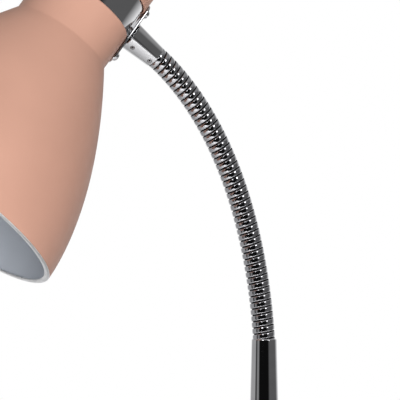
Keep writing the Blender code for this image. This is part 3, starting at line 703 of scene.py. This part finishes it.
def make_collar():
    low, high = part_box("clamp_collar")
    bore = INNER_TUBE_R + 0.0003
    radius = high.x
    waist = low.z + 0.020
    outline = [(bore, high.z), (radius, high.z), (radius, waist + 0.0035)]
    outline.append((radius - 0.0008, waist + 0.0027))
    outline += [(radius - 0.0008, waist + 0.0015), (radius, waist + 0.0007), (radius, low.z)]
    outline += [(OUTER_TUBE_R + 0.0003, low.z), (OUTER_TUBE_R + 0.0003, waist), (bore, waist)]
    shape = spun(outline)
    soften(shape, 0.0005, above=35)
    piece = object_of("column_collar", shape)
    across = Matrix.Translation((0, 0, CLAMP_Z)) @ Matrix.Rotation(math.pi / 2, 4, "Y")
    cut(piece, peg(0.0033, 0.004, 0.030, across, 48))
    finish(piece, (CHROME,), "stand", ["clamp_collar"])


def make_knob():
    """A scalloped knob on the clamp's screw, with a dished end."""
    low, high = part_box("clamp_knob")
    length, radius = high.x - low.x, 0.016
    place = Matrix.Translation((low.x, 0, CLAMP_Z)) @ Matrix.Rotation(math.pi / 2, 4, "Y")
    shape = bmesh.new()
    bmesh.ops.create_circle(shape, cap_ends=True, segments=144, radius=radius)
    for vert in shape.verts:
        turn = math.atan2(vert.co.y, vert.co.x)
        vert.co *= 1 - 0.055 * (1 - math.cos(6 * turn))
    grown = bmesh.ops.extrude_face_region(shape, geom=shape.faces[:])
    raised = [item for item in grown["geom"] if isinstance(item, bmesh.types.BMVert)]
    bmesh.ops.translate(shape, vec=(0, 0, length), verts=raised)
    bmesh.ops.recalc_face_normals(shape, faces=shape.faces)
    soften(shape, 0.0016, 5, 60)
    top = [face for face in shape.faces if face.normal.z > 0.99]
    inner = bmesh.ops.inset_region(shape, faces=top, thickness=0.0025, depth=0)
    dish = [face for face in shape.faces if face.normal.z > 0.99 and face not in inner["faces"]]
    bmesh.ops.inset_region(shape, faces=dish, thickness=0.0008, depth=-0.0008)
    piece = object_of("clamp_hand_knob", shape, place)
    cut(piece, peg(0.0034, -0.001, length * 0.6, place, 48))
    finish(piece, (BLACK_PLASTIC,), "clamp_handle", ["clamp_knob"], 40)


def make_rosette():
    low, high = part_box("column_rosette")
    bore = OUTER_TUBE_R + 0.0003
    rise = [(high.x, low.z + 0.0010), (0.0235, low.z + 0.0022)]
    rise += bow((0.0235, low.z + 0.0105), 0.0083, -95, -170, 10)
    outline = [(bore, low.z), (high.x, low.z)] + rise
    outline += [(0.0140, high.z - 0.0004), (0.0136, high.z), (bore, high.z)]
    piece = object_of("column_foot_rosette", spun(outline))
    finish(piece, (CHROME,), "stand", ["column_rosette"], 40)


def make_cover():
    low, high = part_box("base_cover")
    edge_r = 0.010
    edge = bow((high.x - edge_r, 0.006), edge_r, 84, 0, 14)
    flat = [(0.0044, high.z), (0.028, high.z), (0.032, high.z - 0.0002)]
    shape = sheet_turned(flat + edge + [(high.x, low.z)], 160)
    piece = object_of("weight_cover", shape)
    bore = Matrix.Translation((high.x, 0, 0.0092)) @ Matrix.Rotation(math.pi / 2, 4, "Y")
    cut(piece, peg(0.0048, -0.006, 0.006, bore, 48))
    finish(piece, (SALMON,), "stand", ["base_cover"], 40)


def make_pad():
    """The rubber mat, with a tread of rings underneath."""
    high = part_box("base_pad")[1]
    under = [(0, 0)]
    radius = 0.020
    while radius < high.x - 0.012:
        under += [(radius, 0), (radius + 0.0008, 0.0007)]
        under += [(radius + 0.0022, 0.0007), (radius + 0.0030, 0)]
        radius += 0.012
    outline = under + [(high.x - 0.0006, 0), (high.x, 0.0006), (high.x, high.z - 0.0004)]
    outline += [(high.x - 0.0004, high.z), (0, high.z)]
    piece = object_of("floor_mat", spun(outline, 128))
    finish(piece, (RUBBER,), "stand", ["base_pad"], 40)


def make_gland():
    """The cord's entry: a flange and a ribbed nose, open through."""
    bore, flange = 0.0032, 0.0055
    nose = [(flange, 0.0003), (flange, 0.0022), (0.0047, 0.0028)]
    for i in range(4):
        height = 0.0034 + i * 0.0018
        nose += [(0.0045, height), (0.0045, height + 0.0010)]
        nose += [(0.0040, height + 0.0012), (0.0040, height + 0.0016)]
    outline = [(bore, -0.012), (0.0045, -0.012), (0.0045, 0.0003)] + nose
    outline += [(0.0045, 0.0108), (bore, 0.0108)]
    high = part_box("base_cover")[1]
    place = Matrix.Translation((high.x, 0, 0.0092)) @ Matrix.Rotation(math.pi / 2, 4, "Y")
    piece = object_of("cord_entry", spun(outline, SMALL_ROUND_STEPS), place)
    finish(piece, (BLACK_PLASTIC,), "stand", ["cord_gland"], 40)


# Lamp, holder and switch


def make_bulb():
    top, length, radius, neck_r = -0.0066, 0.076, 0.030, 0.0125
    middle = top - length + radius
    start = math.radians(50)
    meet = (radius * math.cos(start), middle + radius * math.sin(start))
    pull = math.tan(start) * (top - meet[1])
    outline = [(0, top), (neck_r - 0.0006, top)]
    for i in range(15):
        share = i / 15
        smooth = share * share * (3 - 2 * share)
        reach = neck_r + (meet[0] - neck_r) * smooth + pull * (share**3 - share**2)
        outline.append((reach, top - 0.0004 - (top - 0.0004 - meet[1]) * share))
    globe = bow((0, middle), radius, 50, -90, 30)
    globe[-1] = (0, middle - radius)
    piece = object_of("opal_bulb", spun(outline + globe), HEAD)
    finish(piece, (GLASS,), "head", ["bulb_glass"], 60)


def make_holder():
    radius, bore, ledge, top = 0.0170, 0.0150, 0.0190, 0.040
    ribs = []
    for i in range(5):
        height = -0.0035 + i * 0.0035
        ribs += [(radius, height), (radius - 0.0006, height + 0.0006)]
        ribs.append((radius - 0.0006, height + 0.0018))
        ribs += [(radius, height + 0.0024)]
    outline = [(0, 0.030), (bore, 0.030), (bore, -0.006), (radius - 0.0005, -0.006)]
    outline += [(radius, -0.0055)] + ribs
    outline += [(radius, 0.0278), (ledge, 0.0278), (ledge, top - 0.006), (0.013, top), (0, top)]
    piece = object_of("lamp_holder", spun(outline), HEAD)
    finish(piece, (PORCELAIN,), "head", ["lampholder_body"], 40)


def make_switch():
    low, high = 0.0583, 0.0603
    bore = 0.0045
    outline = [(bore, high), (0.0078, high), (0.0085, high - 0.0005), (0.0085, low), (0.0060, low)]
    outline += [(0.0060, 0.0443), (0, 0.0443), (0, 0.0533), (bore, 0.0533)]
    shape = spun(outline, SMALL_ROUND_STEPS)
    soften(shape, 0.0002, 2, 40)
    piece = object_of("switch_bush", shape, HEAD)
    finish(piece, (BLACK_PLASTIC,), "head", ["switch_body"], 40)
    foot = 0.0556
    cap = [(0, foot), (0.0042, foot), (0.0042, foot + 0.0053), (0.0038, foot + 0.0060)]
    cap.append((0.0030, foot + 0.0063))
    cap += [(0.0024, foot + 0.0061), (0, foot + 0.0058)]
    button = object_of("push_button", spun(cap, SMALL_ROUND_STEPS), HEAD)
    finish(button, (BLACK_PLASTIC,), "button", ["switch_button"], 40)


def refinish_hidden():
    """The plain pieces kept from the frame get their real finishes."""
    kept = {
        ZINC: (
            "swivel_stud",
            "swivel_nut",
            "column_bolt",
            "column_plug",
            "clamp_screw",
            "holder_ring",
            "bulb_cap",
            "switch_nut",
        ),
        BRASS: ("tube_nipple", "lampholder_thread", "centre_contact"),
        NYLON: ("guide_bush", "foot_bush", "clamp_pad"),
        CAST_IRON: ("base_weight",),
    }
    for material, names in kept.items():
        for name in names:
            node = frame["nodes"][name]
            node.data.materials.clear()
            node.data.materials.append(material)


# Studio: white behind the lamp, dark in front for the chrome to mirror, a soft fill, two small lamps


def room_height(nodes, links, height, colour, low, high, grey, below):
    """Paints the part of the room below or above a height in one grey."""
    share = nodes.new("ShaderNodeMapRange")
    share.interpolation_type = "SMOOTHSTEP"
    share.inputs["From Min"].default_value = low
    share.inputs["From Max"].default_value = high
    share.inputs["To Min"].default_value = 1 if below else 0
    share.inputs["To Max"].default_value = 0 if below else 1
    links.new(height, share.inputs["Value"])
    mix = nodes.new("ShaderNodeMix")
    mix.data_type = "RGBA"
    mix.inputs["B"].default_value = (grey, grey, grey, 1)
    links.new(share.outputs["Result"], mix.inputs["Factor"])
    links.new(colour, mix.inputs["A"])
    return mix.outputs["Result"]


def studio_air(toward_camera):
    """White where the camera looks past the lamp. Elsewhere a room for the chrome to mirror."""
    world = bpy.data.worlds.new("studio")
    bpy.context.scene.world = world
    world.use_nodes = True
    nodes, links = world.node_tree.nodes, world.node_tree.links
    background = nodes["Background"]
    place = nodes.new("ShaderNodeTexCoord")
    turn = nodes.new("ShaderNodeMapping")
    turn.vector_type = "POINT"
    turn.inputs["Rotation"].default_value = (0, 0, -math.atan2(toward_camera.y, toward_camera.x))
    links.new(place.outputs["Generated"], turn.inputs["Vector"])
    split = nodes.new("ShaderNodeSeparateXYZ")
    links.new(turn.outputs["Vector"], split.inputs["Vector"])
    round_room = nodes.new("ShaderNodeMath")
    round_room.operation = "ARCTAN2"
    links.new(split.outputs["Y"], round_room.inputs[0])
    links.new(split.outputs["X"], round_room.inputs[1])
    walls = nodes.new("ShaderNodeMapRange")
    walls.inputs["From Min"].default_value = -math.pi
    walls.inputs["From Max"].default_value = math.pi
    links.new(round_room.outputs[0], walls.inputs["Value"])
    paint = nodes.new("ShaderNodeValToRGB")
    links.new(walls.outputs["Result"], paint.inputs["Fac"])
    stops = paint.color_ramp
    for start, end, grey in ROOM_WALLS:
        for degrees in (start, end):
            stop = stops.elements.new((degrees + 180) / 360)
            stop.color = (grey, grey, grey, 1)
    stops.elements.remove(stops.elements[0])
    stops.elements.remove(stops.elements[-1])
    height = split.outputs["Z"]
    floor_glow = room_height(nodes, links, height, paint.outputs["Color"], -0.62, -0.45, 0.50, True)
    room = room_height(nodes, links, height, floor_glow, 0.32, 0.52, 0.30, False)
    seen = nodes.new("ShaderNodeLightPath")
    mix = nodes.new("ShaderNodeMix")
    mix.data_type = "RGBA"
    mix.inputs["B"].default_value = (1, 1, 1, 1)
    links.new(seen.outputs["Is Camera Ray"], mix.inputs["Factor"])
    links.new(room, mix.inputs["A"])
    links.new(mix.outputs["Result"], background.inputs["Color"])


def soft_lamp(name, place, aim, size, watts, mirrored=True):
    """A round lamp. One that isn't mirrored lights the paint and stays out of the chrome."""
    light = bpy.data.lights.new(name, "AREA")
    light.shape = "DISK"
    light.size = size
    light.energy = watts
    lamp = bpy.data.objects.new(name, light)
    lamp.location = place
    lamp.rotation_euler = (Vector(aim) - Vector(place)).to_track_quat("-Z", "Y").to_euler()
    lamp.visible_glossy = mirrored
    bpy.context.scene.collection.objects.link(lamp)


def around(centre, toward_camera, turn, rise, distance):
    """A place that far from the centre, turned and raised in degrees from the camera's side."""
    heading = math.atan2(toward_camera.y, toward_camera.x) + math.radians(turn)
    level = math.cos(math.radians(rise)) * distance
    height = math.sin(math.radians(rise)) * distance
    return centre + Vector((math.cos(heading) * level, math.sin(heading) * level, height))


def make_floor():
    shape = bmesh.new()
    bmesh.ops.create_grid(shape, x_segments=1, y_segments=1, size=1.2)
    floor = object_of("studio_floor", shape)
    floor.data.materials.append(moulded("pale_floor", (0.78, 0.78, 0.78), 0.7, 60, 0.02))
    floor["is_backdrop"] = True


def make_camera():
    """Looks up a little at the shade, from the front left, with a long lens."""
    turn, rise = math.radians(CAMERA_TURN), math.radians(CAMERA_RISE)
    back = Vector((math.sin(turn) * math.cos(rise), -math.cos(turn) * math.cos(rise), math.sin(rise)))
    right = Vector((math.cos(turn), math.sin(turn), 0))
    up = back.cross(right)
    aim = Vector((0, 0, FERRULE_TOP)) - right * AIM_LEFT + up * AIM_UP
    lens = bpy.data.cameras.new("camera")
    lens.sensor_width = 36
    lens.lens = lens.sensor_width * CAMERA_DISTANCE / VIEW_WIDTH
    camera = bpy.data.objects.new("camera", lens)
    facing = Matrix((right, up, back)).transposed().to_4x4()
    camera.matrix_world = Matrix.Translation(aim + back * CAMERA_DISTANCE) @ facing
    bpy.context.scene.collection.objects.link(camera)
    bpy.context.scene.camera = camera
    return aim, back


def light_studio(aim, back):
    studio_air(back)
    soft_lamp("front_fill", around(aim, back, 2, 5, 1.8), aim, 1.6, 38, mirrored=False)
    soft_lamp("small_lamp", around(aim, back, -12, 15, 1.8), aim, 0.50, 2.5)
    soft_lamp("small_lamp_right", around(aim, back, 44, 15, 1.8), aim, 0.50, 2.2)


def main():
    make_floor()
    aim, back = make_camera()
    light_studio(aim, back)
    make_shade()
    make_cap()
    make_band()
    make_side_plate()
    make_plate_screw("strap_screw_upper", -PLATE_SCREW_Z, "plate_screw_upper", 25)
    make_plate_screw("strap_screw_lower", PLATE_SCREW_Z, "plate_screw_lower", -40)
    make_sleeve()
    make_gooseneck()
    make_ferrule()
    make_tubes()
    make_collar()
    make_knob()
    make_rosette()
    make_cover()
    make_pad()
    make_gland()
    make_bulb()
    make_holder()
    make_switch()
    refinish_hidden()
    bpy.context.scene.view_settings.view_transform = "Standard"
    seen_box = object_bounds()
    boxes = {"cad": cad_box, "visual": seen_box}
    boxes = {name: [list(corner) for corner in box] for name, box in boxes.items()}


main()
